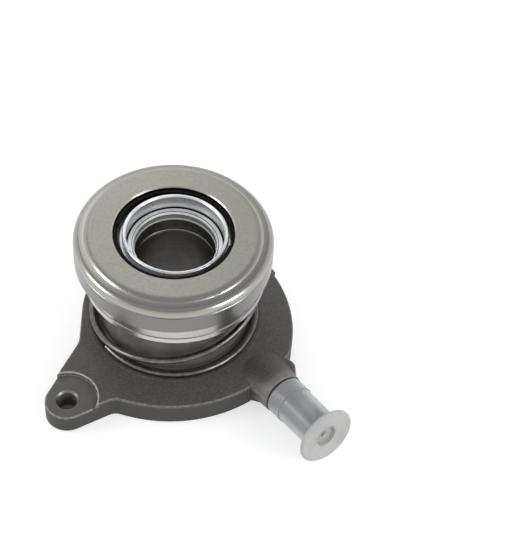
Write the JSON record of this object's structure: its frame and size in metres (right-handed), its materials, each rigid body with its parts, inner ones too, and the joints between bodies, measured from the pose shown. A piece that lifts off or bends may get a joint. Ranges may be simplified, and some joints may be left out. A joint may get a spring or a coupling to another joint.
{
  "type": "concentric slave cylinder",
  "caption": "Annular clutch release cylinder on a flange with a fixing ear, an angled hydraulic port with a cap, a preload spring and a self-centring release bearing.",
  "frame": {"origin": "on the axis of the guide tube, in the machined mounting face at the back of the flange", "axes": "+Z along the guide tube towards the release bearing; the fixing ear lies towards -X and -Y and the hydraulic port towards +X and -Y"},
  "size_m": [0.1027, 0.0934, 0.0515],
  "materials": {
    "cast_housing": "fine cast grain with machined faces",
    "guide_tube_steel": "turned, brownish grey",
    "seal_rubber": "black",
    "ring_steel": "flat, bright",
    "spigot_steel": "turned",
    "spring_wire": "dark oiled wire",
    "piston_plastic": "dark moulded",
    "backup_plastic": "hard plastic",
    "carrier_steel": "bright, finely brushed",
    "retainer_steel": "pressed sheet",
    "bearing_steel": "ground",
    "seal_plastic": "black, glossy",
    "contact_steel": "satin, turned",
    "ball_steel": "polished",
    "cage_plastic": "moulded",
    "cap_plastic": "translucent, moulded"
  },
  "bodies": {
    "housing": {"housing": "cast_housing", "guide_tube": "guide_tube_steel", "guide_tube_seal": "seal_rubber", "stop_ring": "ring_steel", "dust_wiper": "seal_rubber", "port_spigot": "spigot_steel", "port_ring": "seal_rubber", "preload_spring": "spring_wire"},
    "carriage": {"piston": "piston_plastic", "piston_seal": "seal_rubber", "seal_backup_ring": "backup_plastic", "bearing_carrier": "carrier_steel", "spring_retainer": "retainer_steel", "disc_spring": "ring_steel", "retaining_ring": "ring_steel"},
    "bearing_float": {"bearing_inner_ring": "bearing_steel", "front_seal": "seal_plastic"},
    "contact_ring": {"bearing_outer_ring": "contact_steel", "rear_seal": "retainer_steel"},
    "ball_set": {"bearing_balls": "ball_steel", "ball_cage": "cage_plastic"},
    "cap": {"transport_cap": "cap_plastic"}
  },
  "joints": [
    {"name": "piston_stroke", "type": "slide", "parent": "housing", "child": "carriage", "axis": [0, 0, 1], "range_m": [-0.0125, 0], "stiffness_N_per_m": 3000, "springref_m": 0.018, "deforming": ["preload_spring"]},
    {"name": "bearing_centring", "type": "slide", "parent": "carriage", "child": "bearing_float", "axis": [0.7071, 0.7071, 0], "range_m": [-0.0002, 0.0014]},
    {"name": "bearing_turn", "type": "hinge", "parent": "bearing_float", "child": "contact_ring", "pos_m": [-0.00045, -0.00045, 0.0453], "axis": [0, 0, 1], "continuous": true},
    {"name": "ball_turn", "type": "hinge", "parent": "bearing_float", "child": "ball_set", "pos_m": [-0.00045, -0.00045, 0.0453], "axis": [0, 0, 1], "continuous": true},
    {"name": "cap_pull", "type": "slide", "parent": "housing", "child": "cap", "axis": [0.6312, -0.763, 0.1392], "range_m": [0, 0.02]}
  ],
  "couplings": [
    {"joint": "ball_turn", "follows": "bearing_turn", "ratio": 0.45}
  ]
}
